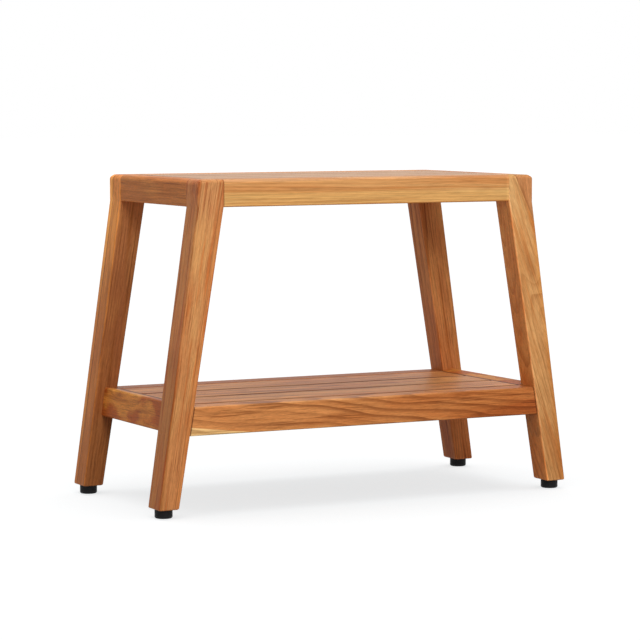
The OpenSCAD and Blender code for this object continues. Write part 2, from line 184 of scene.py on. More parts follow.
def teak_figure_group():
    """Teak as cut from a log: rings about a pith, long streaks, fine fibres, soft blotches.

    Z is the grain. Pith is where the log's middle crosses Z = 0, Pith Lean how far it
    moves for each metre of Z. The rings bend round Knot. Shorter divides the length of
    streaks and blotches. All lengths are in metres."""
    tree, given, made = start_group("teak_figure", [
        ("Vector", "Vector", (0, 0, 0)),
        ("Seed", "Float", 0.0),
        ("Pith", "Vector", (0.05, 0.03, 0)),
        ("Pith Lean", "Vector", (0, 0, 0)),
        ("Ring Width", "Float", 0.005),
        ("Rings", "Float", 0.4),
        ("Wander", "Float", 0.012),
        ("Streaks", "Float", 0.4),
        ("Lines", "Float", 0.3),
        ("Blotches", "Float", 0.3),
        ("Knot", "Vector", (0, 0, 0)),
        ("Knot Size", "Float", 0.001),
        ("Shorter", "Float", 1.0),
        ("Light", "Color", (1, 1, 1, 1)),
        ("Base", "Color", (0.5, 0.5, 0.5, 1)),
        ("Dark", "Color", (0, 0, 0, 1)),
        ("Streak", "Color", (0, 0, 0, 1)),
    ], [("Color", "Color"), ("Roughness", "Float"), ("Height", "Float")])
    seeded = vector_calc("MULTIPLY_ADD", given["Vector"], combined(1.0, 1.0, given["Shorter"]),
                         scaled(SEED_STEP, given["Seed"]))
    bend = vector_calc("SUBTRACT", noise(seeded, BEND_CELLS, output="Color"), (0.5, 0.5, 0.5))
    wavy = vector_calc("ADD", seeded, scaled(bend, BEND_REACH))
    across = vector_calc("ADD", given["Vector"], scaled(bend, given["Wander"]))
    along = add_node("ShaderNodeSeparateXYZ", Vector=given["Vector"]).outputs["Z"]
    pith = vector_calc("ADD", given["Pith"], scaled(given["Pith Lean"], along))
    across = vector_calc("MULTIPLY", vector_calc("SUBTRACT", across, pith), (1, 1, 0))
    apart = vector_calc("SUBTRACT", given["Vector"], given["Knot"])
    apart = vector_calc("MULTIPLY", apart, (1, 1, KNOT_SQUEEZE))
    near = calc("DIVIDE", vector_calc("LENGTH", apart), given["Knot Size"])
    swell = calc("EXPONENT", calc("MULTIPLY", calc("MULTIPLY", near, near), -1.0))
    bulge = calc("MULTIPLY", swell, given["Knot Size"])
    radius = calc("ADD", vector_calc("LENGTH", across), bulge)
    count = calc("DIVIDE", radius, given["Ring Width"])
    year = tree.nodes.new("ShaderNodeTexWhiteNoise")
    year.noise_dimensions = "1D"
    feed(year.inputs["W"], calc("ADD", calc("FLOOR", count), given["Seed"]))
    part = calc("FRACT", count)
    late = calc("MULTIPLY", ramp(part, LATE_START, LATE_END), ramp(part, 1.0, LATE_END))
    late = calc("MULTIPLY", late,
                calc("MULTIPLY_ADD", year.outputs[0], 1.0 - LATE_LEAST, LATE_LEAST))

    streak = ramp(noise(wavy, STREAK_CELLS, 3.0, 0.6), 0.5, 0.68)
    line = ramp(noise(wavy, LINE_CELLS, 3.0, 0.55), 0.55, 0.68)
    blotch = ramp(noise(wavy, BLOTCH_CELLS, 3.0), 0.42, 0.6)
    fibre = noise(wavy, FIBRE_CELLS, 4.0, 0.7)
    fleck = noise(wavy, FLECK_CELLS, 2.0, 0.6)
    pore = ramp(noise(wavy, PORE_CELLS, 1.0), 0.64, 0.76)

    tone = given["Base"]
    for mask, amount, over in ((blotch, "Blotches", "Light"), (late, "Rings", "Dark"),
                               (streak, "Streaks", "Streak"), (line, "Lines", "Dark")):
        tone = blend(calc("MULTIPLY", mask, given[amount]), tone, given[over])
    knot = calc("MULTIPLY", calc("POWER", swell, KNOT_EDGE), KNOT_DARK)
    tone = blend(knot, tone, given["Dark"])
    grey = calc("MULTIPLY_ADD", fibre, FIBRE_LIGHT, LEAST_LIGHT)
    grey = calc("MULTIPLY_ADD", fleck, FLECK_LIGHT, grey)
    grey = calc("MULTIPLY_ADD", pore, -PORE_DARK, grey)
    light = add_node("ShaderNodeCombineColor", Red=grey, Green=grey, Blue=grey)
    feed(made["Color"], blend(1.0, tone, light.outputs[0], "MULTIPLY"))
    feed(made["Roughness"], calc("MULTIPLY_ADD", fibre, ROUGH_SPREAD, ROUGH_LEAST))
    feed(made["Height"], calc("MULTIPLY_ADD", pore, -PORE_DEPTH, calc("ADD", fibre, late)))
    return tree


LINE_CORE = 0.4


def glue_and_gap_shade_line_group():
    """Where two boards meet on a plane: which board a point is in, and the thin dark line, which
    also paints shade into gaps between parts.
    """
    tree, given, made = start_group("glue_and_gap_shade_line", [
        ("Vector", "Vector", (0, 0, 0)),
        ("Normal", "Vector", (1, 0, 0)),
        ("Offset", "Float", 0.0),
        ("Width", "Float", 0.0009),
    ], [("Beyond", "Float"), ("Line", "Float")])
    reach = vector_calc("DOT_PRODUCT", given["Vector"], given["Normal"])
    reach = calc("SUBTRACT", reach, given["Offset"])
    feed(made["Beyond"], calc("GREATER_THAN", reach, 0.0))
    near = calc("DIVIDE", calc("ABSOLUTE", reach), given["Width"])
    feed(made["Line"], ramp(near, 1.0, LINE_CORE))
    return tree


DRIFT_CELLS = (9, 9, 30)


def wood_tone_and_painted_light_group():
    """Where a slow change of tint begins past a plane: the pale sapwood under the bark side of a
    board, other tones of the wood, and painted shade, highlights and reflections.
    """
    tree, given, made = start_group("wood_tone_and_painted_light", [
        ("Vector", "Vector", (0, 0, 0)),
        ("Normal", "Vector", (1, 0, 0)),
        ("Start", "Float", 0.0),
        ("Fade", "Float", 0.01),
        ("Waver", "Float", 0.01),
    ], [("Share", "Float")])
    reach = vector_calc("DOT_PRODUCT", given["Vector"], given["Normal"])
    reach = calc("SUBTRACT", reach, given["Start"])
    drift = calc("SUBTRACT", noise(given["Vector"], DRIFT_CELLS), 0.5)
    reach = calc("MULTIPLY_ADD", drift, given["Waver"], reach)
    feed(made["Share"], ramp(calc("DIVIDE", reach, given["Fade"]), 0.0, 1.0))
    return tree


# The arris band is partly rubbed, paler wood and partly a painted highlight on the rounded edge.
ARRIS_BAND_CELLS, ARRIS_BAND_DRIFT, ARRIS_BAND_CORE = (60, 60, 60), 0.9, 0.35


def worn_and_highlit_arris_group():
    """The band along the arris where two faces meet, given as planes: partly rubbed wood, partly a
    painted highlight where light catches the edge.
    """
    tree, given, made = start_group("worn_and_highlit_arris", [
        ("Vector", "Vector", (0, 0, 0)),
        ("Face A", "Vector", (1, 0, 0)),
        ("Offset A", "Float", 0.0),
        ("Face B", "Vector", (0, 1, 0)),
        ("Offset B", "Float", 0.0),
        ("Width", "Float", 0.003),
    ], [("Band", "Float")])
    depths = []
    for name in "AB":
        reach = vector_calc("DOT_PRODUCT", given["Vector"], given["Face " + name])
        depths.append(calc("ABSOLUTE", calc("SUBTRACT", reach, given["Offset " + name])))
    deep = calc("DIVIDE", calc("MAXIMUM", *depths), given["Width"])
    rub = noise(given["Vector"], ARRIS_BAND_CELLS, 3.0)
    deep = calc("ADD", deep, calc("MULTIPLY_ADD", rub, ARRIS_BAND_DRIFT, -ARRIS_BAND_DRIFT / 2))
    feed(made["Band"], ramp(deep, 1.0, ARRIS_BAND_CORE))
    return tree


teak_figure = teak_figure_group()
glue_and_gap_shade_line = glue_and_gap_shade_line_group()
wood_tone_and_painted_light = wood_tone_and_painted_light_group()
worn_and_highlit_arris = worn_and_highlit_arris_group()


def add_group(group, **values):
    node = tree_of(*values.values()).nodes.new("ShaderNodeGroup")
    node.node_tree = group
    return fill(node, **values)


def start_material(name):
    """A new material, its shader and the Object coordinates."""
    material = bpy.data.materials.new(name)
    material.use_nodes = True
    nodes = material.node_tree.nodes
    return material, nodes["Principled BSDF"], nodes.new("ShaderNodeTexCoord").outputs["Object"]


def finish_surface(surface, color, roughness, height, strength, depth):
    """Feeds a shader, with height as a bump of some strength and depth."""
    bump = add_node("ShaderNodeBump", Strength=strength, Distance=depth, Height=height)
    fill(surface, Base_Color=color, Roughness=roughness, Normal=bump.outputs[0])


# The dark of glue lines, also used to paint shade into gaps.
GLUE_AND_GAP_SHADE = linear("42200e")
JOINT_AND_GAP_DARK = 0.8
MOST_WAVER, WAVER_SHARE = 0.01, 1.5
GRAIN_BUMP, GRAIN_DEPTH = 0.3, 0.0002
# The tint of an arris band: rubbed wood with a painted highlight.
RUBBED_AND_HIGHLIT = (1.22, 1.24, 1.3)


def teak(name, at, turn, boards, seam=None, lines=(), arrises=(), shades=(), rub=RUBBED_AND_HIGHLIT,
         sheen=0.1):
    """An oiled teak finish. at is a point on the pattern's axis, and turn points its Z along
    the grain. boards are one figure, or two that seam divides: a plane's normal and offset,
    and how dark its line is. lines are the planes and widths of dark joint lines, which also
    paint shade into gaps between parts; shades are the normal, start, fade and tint of slow
    changes such as sapwood, and also of painted shade, highlights and reflections; arrises are
    pairs of faces, each a normal and offset, whose edge band takes the tint rub:
    partly rubbed wood, partly a painted highlight. sheen is the oil's."""
    material, surface, place = start_material(name)
    mapping = add_node("ShaderNodeMapping", Vector=place)
    mapping.vector_type = "TEXTURE"
    mapping.inputs["Location"].default_value = at
    mapping.inputs["Rotation"].default_value = turn
    figures = [add_group(teak_figure, Vector=mapping.outputs[0], **b) for b in boards]
    color, rough, height = (figures[0].outputs[k] for k in ("Color", "Roughness", "Height"))
    if seam:
        normal, offset, darkness = seam
        joint = add_group(glue_and_gap_shade_line, Vector=place, Normal=normal, Offset=offset)
        color = blend(joint.outputs["Beyond"], color, figures[1].outputs["Color"])
        color = blend(calc("MULTIPLY", joint.outputs["Line"], darkness), color, GLUE_AND_GAP_SHADE)
    for normal, start, fade, tint in shades:
        edge = add_group(wood_tone_and_painted_light, Vector=place, Normal=normal, Start=start, Fade=fade,
                         Waver=min(MOST_WAVER, WAVER_SHARE * fade))
        color = tinted(edge.outputs["Share"], color, tint)
    # Dark joint lines, and painted shade in the gaps between parts.
    for normal, offset, width in lines:
        joint = add_group(glue_and_gap_shade_line, Vector=place, Normal=normal, Offset=offset, Width=width)
        color = blend(calc("MULTIPLY", joint.outputs["Line"], JOINT_AND_GAP_DARK), color, GLUE_AND_GAP_SHADE)
    # Arris bands: partly rubbed wood, partly a painted highlight.
    for (normal_a, offset_a), (normal_b, offset_b) in arrises:
        worn = add_group(worn_and_highlit_arris, Vector=place, Face_A=normal_a, Offset_A=offset_a,
                         Face_B=normal_b, Offset_B=offset_b)
        color = tinted(worn.outputs["Band"], color, rub)
    finish_surface(surface, color, rough, height, GRAIN_BUMP, GRAIN_DEPTH)
    surface.inputs["Specular IOR Level"].default_value = sheen
    return material


UP, DOWN, LEFT, RIGHT = (0, 0, 1), (0, 0, -1), (-1, 0, 0), (1, 0, 0)


def shade(way, start, tint, fade):
    """A change of tint along one way, from a height or an X, complete a fade further on."""
    return way, sum(way) * start, fade, tint


KNEE_Z = 0.4195
HEAD_OUTER_X, HEAD_INNER_X = 0.2645, 0.2255
SHANK_OUT, SHANK_IN = math.radians(8.24), math.radians(9.5)
SHANK_LEAN = (SHANK_OUT + SHANK_IN) / 2
LEG_FRONT_Y, LEG_BACK_Y = 0.14925, 0.11125
LEG_Y = (LEG_FRONT_Y + LEG_BACK_Y) / 2
LEG_END_Z = 0.0123
RIM_HEIGHT = 0.0032
# SAWN_RIM: the pale rim round each leg's lower end, partly sanded wood and partly a painted
# highlight on its rounded edge.
SAWN_RIM = shade(DOWN, LEG_END_Z + RIM_HEIGHT, RUBBED_AND_HIGHLIT, fade=0.0018)
# Painted shade: each leg darkens towards the floor, where less light reaches it.
LOW_LEG_SHADE = shade(DOWN, 0.26, (0.88, 0.83, 0.78), fade=0.25)


def shank_face(side, outer):
    """Plane of a shank's outer or inner face, as a normal and an offset."""
    lean, x = (SHANK_OUT, HEAD_OUTER_X) if outer else (SHANK_IN, HEAD_INNER_X)
    sign = side if outer else -side
    normal = (sign * math.cos(lean), 0, (1 if outer else -1) * math.sin(lean))
    return normal, normal[0] * side * x + normal[2] * KNEE_Z


def shank_section(side, z):
    """Middle and half width in X of a shank at a height."""
    outer = HEAD_OUTER_X + (KNEE_Z - z) * math.tan(SHANK_OUT)
    inner = HEAD_INNER_X + (KNEE_Z - z) * math.tan(SHANK_IN)
    return side * (outer + inner) / 2, (outer - inner) / 2


CUT_TOLERANCE, MERGE_DISTANCE = 1e-7, 1e-6


def sliced(shape, at, normal, clear=False):
    """Cuts the faces of a shape along a plane, and clears all behind it if clear is true."""
    bmesh.ops.bisect_plane(shape, geom=[*shape.verts, *shape.edges, *shape.faces],
                           dist=CUT_TOLERANCE, plane_co=at, plane_no=normal, clear_inner=clear)


def drawn_down(shape, edges, place):
    """Extends an open loop of edges by one ring, and moves each new point to place(point)."""
    made = bmesh.ops.extrude_edge_only(shape, edges=edges)["geom"]
    for vert in made:
        if isinstance(vert, bmesh.types.BMVert):
            vert.co = place(vert.co)
    return [e for e in made if isinstance(e, bmesh.types.BMEdge) and e.is_boundary]


END_ROUND, END_STEPS = 0.0024, 5
BORE_SHARE = 0.6


def rounded_end(shape, side, rear):
    """Cuts off a leg's sawn end, and closes it again round the insert with a rounded rim."""
    start, mid_y = LEG_END_Z + END_ROUND, rear * LEG_Y
    sliced(shape, (0, 0, start), (0, 0, 1), clear=True)
    (mid_x, half_x), half_y = shank_section(side, start), (LEG_FRONT_Y - LEG_BACK_Y) / 2
    outline, bore = [], []
    for edge in shape.edges:
        if edge.is_boundary:
            reach = max(max(abs(v.co.x - mid_x), abs(v.co.y - mid_y)) for v in edge.verts)
            (outline if reach > half_x * BORE_SHARE else bore).append(edge)
    last_z, last_inset = start, 0.0
    for step in range(1, END_STEPS + 1):
        turn = math.pi / 2 * step / END_STEPS
        z, inset = start - END_ROUND * math.sin(turn), END_ROUND * (1 - math.cos(turn))
        (old_x, old_half), (new_x, new_half) = shank_section(side, last_z), shank_section(side, z)

        def place(point):
            across = (point.x - old_x) / (old_half - last_inset) * (new_half - inset)
            deep = (point.y - mid_y) / (half_y - last_inset) * (half_y - inset)
            return new_x + across, mid_y + deep, z

        outline = drawn_down(shape, outline, place)
        last_z, last_inset = z, inset
    bore = drawn_down(shape, bore, lambda point: (point.x, point.y, LEG_END_Z))
    bmesh.ops.triangle_fill(shape, edges=outline + bore, use_beauty=True, normal=(0, 0, -1))


TOP_ROUND, TOP_STEPS, TOP_TURN = 0.0085, 4, math.radians(21)
SEAT_TOP_Z = 0.457


def rounded_top(shape, side):
    """Rounds the top edge over further at the end of the seat, where hands have sanded it."""
    mid_x, mid_z = HEAD_OUTER_X - TOP_ROUND, SEAT_TOP_Z - TOP_ROUND
    for step in range(TOP_STEPS):
        reach = TOP_ROUND * math.sin(TOP_TURN * step / (TOP_STEPS - 1))
        sliced(shape, (side * (mid_x + reach), 0, 0), (1, 0, 0))
        sliced(shape, (0, 0, mid_z + reach), (0, 0, 1))
    for vert in shape.verts:
        across, up = side * vert.co.x - mid_x, vert.co.z - mid_z
        reach = math.hypot(across, up)
        if across > 0 and up > 0 and reach > TOP_ROUND:
            vert.co.x = side * (mid_x + across * TOP_ROUND / reach)
            vert.co.z = mid_z + up * TOP_ROUND / reach


BROAD_FACE = 0.0005
WOOD_SHARP = math.radians(30)


def facing(face):
    """A face's direction, the same for all the faces of one flat side."""
    return tuple(round(c, 3) + 0.0 for c in face.normal)


def plain_mesh(name, shape):
    mesh = bpy.data.meshes.new(name)
    shape.to_mesh(mesh)
    shape.free()
    return mesh


def added(name, data):
    """A new object of some data, put into the scene."""
    thing = bpy.data.objects.new(name, data)
    bpy.context.scene.collection.objects.link(thing)
    return thing


def rounded_copy(node, side, rear=0):
    """A copy of a node at one end of the bench, rounder than the CAD's, in its place."""
    shape = bmesh.new()
    shape.from_mesh(frame["nodes"][node].data)
    bmesh.ops.remove_doubles(shape, verts=shape.verts, dist=MERGE_DISTANCE)
    rounded_top(shape, side)
    if node.startswith("leg_"):
        rounded_end(shape, side, rear)
    bmesh.ops.recalc_face_normals(shape, faces=shape.faces)
    areas = {}
    for face in shape.faces:
        areas[facing(face)] = areas.get(facing(face), 0) + face.calc_area()
    for face in shape.faces:
        face.smooth = areas[facing(face)] < BROAD_FACE
    mesh = plain_mesh("rounded_" + node, shape)
    # The normals that the CAD's mesh stores don't fit the new faces.
    if "custom_normal" in mesh.attributes:
        mesh.attributes.remove(mesh.attributes["custom_normal"])
    mesh.set_sharp_from_angle(angle=WOOD_SHARP)
    piece = added("rounded_" + node, mesh)
    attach(piece, "bench")
    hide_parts(node)
    return piece


def leg_finish(node, side, rear, boards, seam=None, rubbed=(), skew=0.0, shades=(), rub=RUBBED_AND_HIGHLIT):
    """A leg's rounded copy, its grain down the shank; side is 1 on the right and rear is 1
    at the back. rubbed lists the arrises that face the room, True for the outer one,
    whose band is partly worn wood and partly a painted highlight."""
    at = (side * (HEAD_OUTER_X + HEAD_INNER_X) / 2, rear * LEG_Y, KNEE_Z)
    turn = (0, -side * (SHANK_LEAN + skew), 0)
    room_side = ((0, -1, 0), LEG_FRONT_Y if rear < 0 else -LEG_BACK_Y)
    arrises = [(shank_face(side, outer), room_side) for outer in rubbed]
    finish = teak(node, at, turn, boards, seam, arrises=arrises,
                  shades=[SAWN_RIM, LOW_LEG_SHADE, *shades], rub=rub)
    rounded_copy(node, side, rear).data.materials.append(finish)


def face_tint(plane, tint, depth=0.0016, fade=0.0013):
    """Another tint of a face and of the wood within a depth of it, given the face's plane; it
    carries the wood's own tones, and on some legs painted warm light on one side as well.
    """
    normal, offset = plane
    return normal, offset - depth, fade, tint


LOW_TILT, LOW_FADE = 0.025, 0.05


def low_tint(side, outer, tint, z):
    """Another tint of a shank's face below a height: its plane tilts away further up."""
    (x, _, up), offset = shank_face(side, outer)
    return (x, 0, up - LOW_TILT), offset - LOW_TILT * z, LOW_TILT * LOW_FADE, tint


def tones(light, base, dark, streak):
    return dict(Light=linear(light), Base=linear(base), Dark=linear(dark), Streak=linear(streak))


golden = tones("e5ab6c", "d4965a", "a66431", "c87b3f")
tan = tones("e0a465", "d28d55", "a45f34", "c26a31")
chestnut = tones("b67441", "a36238", "6e3d1c", "894c1e")
cinnamon = tones("cd8d54", "bc7643", "884c22", "a15c2a")
umber = tones("e39a5a", "ce824a", "8e4c22", "ae632c")
FAINT_GLUE, DARK_GLUE = 0.3, 0.9
INNER_BOARD, REAR_BOARD = 0.007, 0.0115
# Painted shade: DULL_TOP tones the top few millimetres of the front right leg's head and its wedge
# darker and greener, against the glancing reflection there.
DULL_DEPTH = 0.0028
DULL_TOP = shade(UP, SEAT_TOP_Z - DULL_DEPTH, (0.86, 0.94, 0.88), fade=0.0022)

# The front right leg is cut across a broad golden figure that swirls round a knot.
leg_finish("leg_front_right", 1, -1, [
    dict(Seed=3.1, Pith=(-0.02, 0.012, 0), Pith_Lean=(0.0, 0.09, 0), Ring_Width=0.006, Rings=0.6,
         Wander=0.02, Streaks=0.65, Lines=0.4, Blotches=0.8, Knot=(-0.0158, -0.019, -0.0923),
         Knot_Size=0.012, **golden),
], rubbed=(False,), skew=0.19, rub=(1.3, 1.33, 1.5), shades=[
    shade(UP, 0.34, (1.06, 1.16, 1.25), fade=0.09),
    # The inner face is redder, more so below the shelf: partly the wood's own tone, partly painted
    # warm light bounced onto that side.
    face_tint(shank_face(1, False), (1.12, 0.93, 0.75)),
    low_tint(1, False, (1.24, 1.07, 0.92), z=0.11),
    face_tint(shank_face(1, True), (1.0, 0.88, 0.72), depth=0.011, fade=0.008),
    DULL_TOP,
])
inner_face, inner_offset = shank_face(-1, False)
leg_finish("leg_front_left", -1, -1, [
    dict(Seed=7.7, Pith=(0.3, 0.08, 0), Ring_Width=0.003, Streaks=0.85, Lines=0.8, Blotches=0.8,
         **tan),
    dict(Seed=8.7, Pith=(0.2, 0.08, 0), Ring_Width=0.003, Rings=0.5, Streaks=0.7, Lines=0.6, **tan),
], seam=(inner_face, inner_offset - INNER_BOARD, FAINT_GLUE), rubbed=(True,), shades=[
    shade(UP, 0.38, (0.89, 0.85, 0.89), fade=0.05),
    # The outer face is redder: partly the wood's own tone, partly painted warm light bounced onto
    # that side.
    face_tint(shank_face(-1, True), (0.98, 0.82, 0.7)),
    low_tint(-1, True, (0.84, 0.81, 0.72), z=0.25),
    shade(DOWN, 0.13, (1.11, 1.13, 1.17), fade=0.06),
    face_tint((inner_face, inner_offset), (1.02, 0.9, 0.8), depth=0.011, fade=0.006),
], rub=(0.86, 0.82, 0.8))
leg_finish("leg_rear_left", -1, 1, [
    dict(Seed=12.4, Pith=(0.2, 0.05, 0), Ring_Width=0.004, Streaks=0.6, Lines=0.6, Blotches=0.7,
         **chestnut),
    dict(Seed=14.4, Pith=(0.1, 0.05, 0), Ring_Width=0.004, Streaks=0.45, Lines=0.4, Blotches=0.5,
         **cinnamon),
], seam=((0, 1, 0), LEG_FRONT_Y - REAR_BOARD, DARK_GLUE), shades=[
    # Painted light: the upper part of this leg is lightened where it lies in the seat's shadow.
    shade(UP, 0.27, (1.62, 1.82, 1.92), fade=0.14),
    face_tint(shank_face(-1, True), (1.56, 1.46, 1.02)),
])
leg_finish("leg_rear_right", 1, 1, [
    dict(Seed=21.9, Pith=(0.15, 0.05, 0), Ring_Width=0.004, Streaks=0.8, Lines=0.7, Blotches=0.9,
         **umber),
], rubbed=(False,), shades=[
    face_tint(shank_face(1, False), (0.95, 0.92, 0.9)),
    shade(DOWN, 0.14, (1.1, 0.9, 0.88), fade=0.05),
])

# ---------- Head wedge ----------
# A wedge of redder teak glued to the outer corner of the front right leg's head, where
# the leg's board was too narrow. Its grain runs with the leg's, and the glue line is dark.
wedge_tones = tones("dca06a", "ce8b57", "a6653c", "b6733f")
WEDGE_ANGLE = math.radians(25.7)
WEDGE_TOP_X = 0.235
glue_side = (-math.cos(WEDGE_ANGLE), 0, -math.sin(WEDGE_ANGLE))
glue_offset = glue_side[0] * WEDGE_TOP_X + glue_side[2] * SEAT_TOP_Z
leg_finish("head_wedge_front_right", 1, -1, [
    dict(Seed=30.2, Pith=(0.1, 0.04, 0), Ring_Width=0.004, Rings=0.3, Streaks=0.35, **wedge_tones),
], shades=[
    face_tint((glue_side, glue_offset), (0.76, 0.72, 0.66), depth=0.0042, fade=0.0036),
    DULL_TOP,
])

# ---------- Seat rails ----------
# Front and rear rails between the leg heads and end rails across them, all with their
# top edge rounded over, the grain along each rail.
ALONG_X = (0, math.radians(90), 0)
ALONG_Y = (math.radians(-90), 0, 0)
RAIL_Y = 0.13
SEAT_RAIL_Z, SEAT_END_X = 0.438, 0.252
JOINT_WIDTH = 0.0009
HEAD_JOINTS = [(RIGHT, HEAD_INNER_X, JOINT_WIDTH), (RIGHT, -HEAD_INNER_X, JOINT_WIDTH)]


def dress(node, material):
    """Gives a CAD node its finish."""
    for slot in frame["nodes"][node].material_slots:
        slot.material = material


def dress_teak(node, *pattern, **more):
    """Gives a CAD node a teak finish of its own."""
    dress(node, teak(node, *pattern, **more))


def long_edges(node, grain):
    """The four edges of a straight board that run along its grain, 0 for X and 1 for Y."""
    low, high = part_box(node)
    side = 1 - grain
    faces = []
    for corner, sign in ((low, -1), (high, 1)):
        normal = [0, 0, 0]
        normal[side] = sign
        faces.append((tuple(normal), sign * corner[side]))
    return [(face, ((0, 0, sign), sign * corner.z)) for face in faces
            for corner, sign in ((low, -1), (high, 1))]


seat_rail_tones = tones("ecbb7a", "db9f61", "b16d38", "c88043")
seat_end_tones = tones("e7974b", "cd7a39", "8a4a1c", "ab5f24")
YELLOW_EDGE, ORANGE_EDGE = (1.05, 1.15, 1.1), (0.94, 0.83, 0.77)
dress_teak("seat_rail_front", (0, -RAIL_Y, SEAT_RAIL_Z), ALONG_X, [
    dict(Seed=41.0, Pith=(0.16, 0.03, 0), Pith_Lean=(0.012, 0, 0), Streaks=0.55, Lines=0.45,
         Blotches=0.6, Shorter=0.35, **seat_rail_tones),
], lines=HEAD_JOINTS[1:], arrises=long_edges("seat_rail_front", 0), rub=(1.1, 1.1, 1.14), shades=[
    shade(DOWN, 0.4415, YELLOW_EDGE, fade=0.008),
    shade(UP, 0.4405, ORANGE_EDGE, fade=0.006),
    # Painted reflection: the rounded top edge is tinted greyer and cooler, as the pale room shows
    # in it.
    shade(UP, 0.4525, (0.86, 0.9, 1.12), fade=0.003),
    # Painted shade: a dark line along the rail's underside edge.
    shade(DOWN, 0.4222, (0.8, 0.64, 0.48), fade=0.002),
    face_tint((RIGHT, HEAD_INNER_X), (1.12, 1.15, 1.18), depth=0.0045, fade=0.002),
])
dress_teak("seat_rail_rear", (0, RAIL_Y, SEAT_RAIL_Z), ALONG_X, [
    dict(Seed=44.0, Pith=(0.04, 0.05, 0), Streaks=0.3, Blotches=0.4, **tan),
], lines=HEAD_JOINTS, arrises=long_edges("seat_rail_rear", 0))
for side, node in [(1, "seat_end_rail_right"), (-1, "seat_end_rail_left")]:
    finish = teak(node, (side * SEAT_END_X, 0, SEAT_RAIL_Z), ALONG_Y, [
        dict(Seed=50.0 + side, Pith=(0.05, 0.06, 0), Streaks=0.65, Lines=0.55, Blotches=0.5,
             **seat_end_tones),
    ], arrises=long_edges(node, 1))
    rounded_copy(node, side).data.materials.append(finish)

# ---------- Seat slats and shelf slats ----------
# Three wide slats lie level between the end rails of the seat, and three more in the
# shelf, a drip gap apart, screwed from below so that no screw shows on top.
seat_top_tones = tones("c2996c", "b48358", "905b31", "9e6a3e")
shelf_top_tones = tones("e6a15e", "d3884d", "6b3413", "8e4d1e")
SEAT_SLAT_Z, SHELF_SLAT_Z = 0.450, 0.1434
SEAT_SHEEN, SHELF_SHEEN = 0.5, 0.15
# WARMER_END warms the shelf slats towards the left: partly the wood's tone, partly painted, where
# less of the pale sheen shows.
SAME_END, WARMER_END = (1, 1, 1), (1.0, 0.97, 0.85)
# The dark lines along each slat's edges and ends are painted shade in the gaps between the slats
# and against the end rails.
GAP_SHADE_WIDTH, END_GAP_SHADE_WIDTH = 0.0018, 0.0045
for level, z, colors, left_end, sheen in [
        ("seat", SEAT_SLAT_Z, seat_top_tones, SAME_END, SEAT_SHEEN),
        ("shelf", SHELF_SLAT_Z, shelf_top_tones, WARMER_END, SHELF_SHEEN)]:
    for count, place in enumerate(("front", "middle", "rear")):
        node = f"{level}_slat_{place}"
        low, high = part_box(node)
        dress_teak(node, (0, (low.y + high.y) / 2, z), ALONG_X, [
            dict(Seed=60.0 + count + 10 * z, Pith=(0.02, 0.02 * count - 0.015, 0),
                 Pith_Lean=(0.06, 0.02, 0), Rings=0.6, Wander=0.02, Streaks=0.95, Lines=0.95,
                 Blotches=0.9, Shorter=0.6, **colors),
        ], lines=[((0, 1, 0), low.y, GAP_SHADE_WIDTH), ((0, 1, 0), high.y, GAP_SHADE_WIDTH),
                  (RIGHT, low.x, END_GAP_SHADE_WIDTH), (RIGHT, high.x, END_GAP_SHADE_WIDTH)],
            shades=[shade(LEFT, 0.1, left_end, fade=0.25)], sheen=sheen)

# ---------- Shelf rails ----------
# The shelf's long rails stand between the shanks, set back a little from the legs'
# faces; its end rails lean with the legs. The front rail shows dark streaks, knots and
# a strip of pale sapwood low on the left.
orange = tones("df9557", "cc7e44", "753916", "9d5724")
SHELF_RAIL_Z, SHELF_END_X, SHELF_END_Z = 0.131, 0.28, 0.133
# How wide the dark lines are where the front rail meets the legs, dark joints with painted contact
# shade, and where the end rails meet the slats, painted shade in the gap.
LEFT_JOINT, RIGHT_JOINT = 0.0024, 0.0018
LEFT_GAP, RIGHT_GAP = 0.009, 0.003
SHEEN_DEPTH, SHADED_EDGE_HEIGHT = 0.003, 0.0028
REDDER_END = shade(RIGHT, -0.05, (0.86, 0.72, 0.6), fade=0.3)
DARK_BAND = ((0.16, 0, -0.987), -0.091, 0.004, (0.85, 0.74, 0.68))
SAPWOOD_STRIP = ((-0.121, 0, -0.993), -0.0892, 0.0014, (1.5, 2.4, 3.2))


def painted_top_sheen(node):
    """The upward face of a rail, paler and greyer: a painted reflection of the pale room seen at a
    glancing view.
    """
    return shade(UP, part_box(node)[1].z - SHEEN_DEPTH, (1.1, 1.3, 1.55), fade=0.002)


dress_teak("shelf_rail_front", (0, -RAIL_Y, SHELF_RAIL_Z), ALONG_X, [
    dict(Seed=80.0, Pith=(0.05, 0.0, 0), Pith_Lean=(0.1, 0.03, 0), Ring_Width=0.0105, Rings=0.75,
         Wander=0.035, Streaks=0.55, Lines=0.6, Blotches=0.7, **orange),
], arrises=long_edges("shelf_rail_front", 0), rub=(1.03, 1.03, 1.06), shades=[
    REDDER_END,
    painted_top_sheen("shelf_rail_front"),
    DARK_BAND,
    # Painted highlight: the rounded lower edge of the rail is paler.
    shade(DOWN, 0.1145, (1.15, 1.3, 1.35), fade=0.003),
    SAPWOOD_STRIP,
], lines=[(*shank_face(-1, False), LEFT_JOINT), (*shank_face(1, False), RIGHT_JOINT)])
dress_teak("shelf_rail_rear", (0, RAIL_Y, SHELF_RAIL_Z), ALONG_X, [
    dict(Seed=83.0, Pith=(0.04, 0.05, 0), **chestnut),
], arrises=long_edges("shelf_rail_rear", 0))
shelf_end_tones = tones("da8a3b", "b45b23", "75340f", "944415")
